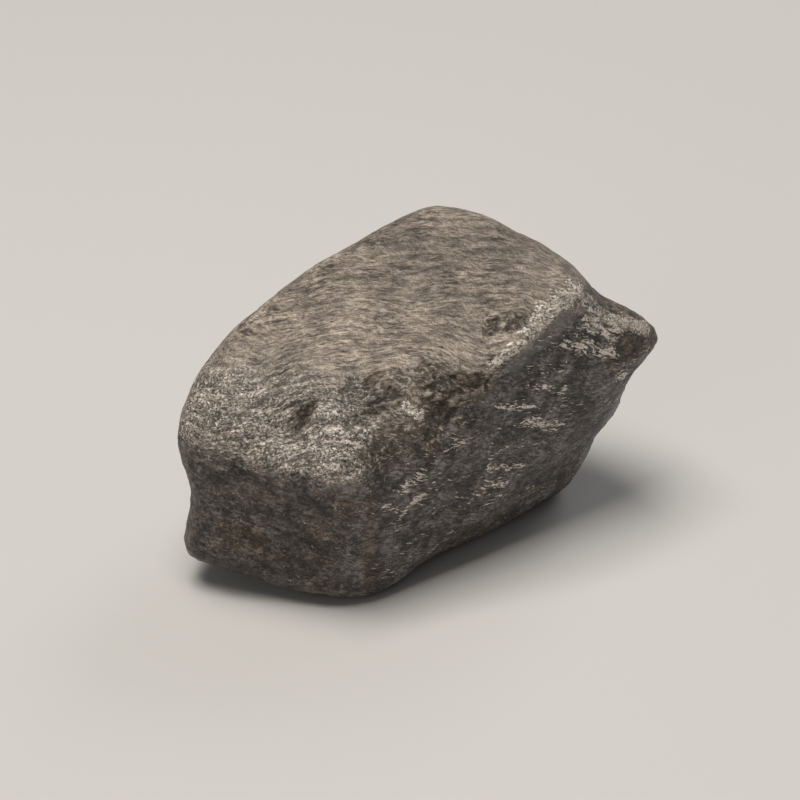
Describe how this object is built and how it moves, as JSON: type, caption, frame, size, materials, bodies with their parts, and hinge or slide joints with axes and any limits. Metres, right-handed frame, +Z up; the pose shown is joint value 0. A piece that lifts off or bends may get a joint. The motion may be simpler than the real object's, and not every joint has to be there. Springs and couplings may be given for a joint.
{
  "type": "rough diamond",
  "caption": "Uncut grey-brown diamond crystal: an irregular etched block with a domed top, a pointed right end and a flat cleavage face to rest on.",
  "frame": {"origin": "centre of the bounding box in X and Y, at the height of the flat cleavage face that the stone rests on", "axes": "+X along the stone towards its pointed right end, +Y from the two dark front faces towards the back, +Z up out of the rest face"},
  "size_m": [0.0238, 0.0156, 0.0172],
  "materials": {
    "diamond_skin": "greasy, half-matt etched crystal skin: lighter grey-beige and finely hatched on top, darker blue-grey and smoother on the sides, with brown tints and small bright growth terraces"
  },
  "bodies": {
    "root": {"rough_diamond": "diamond_skin"}
  },
  "joints": []
}
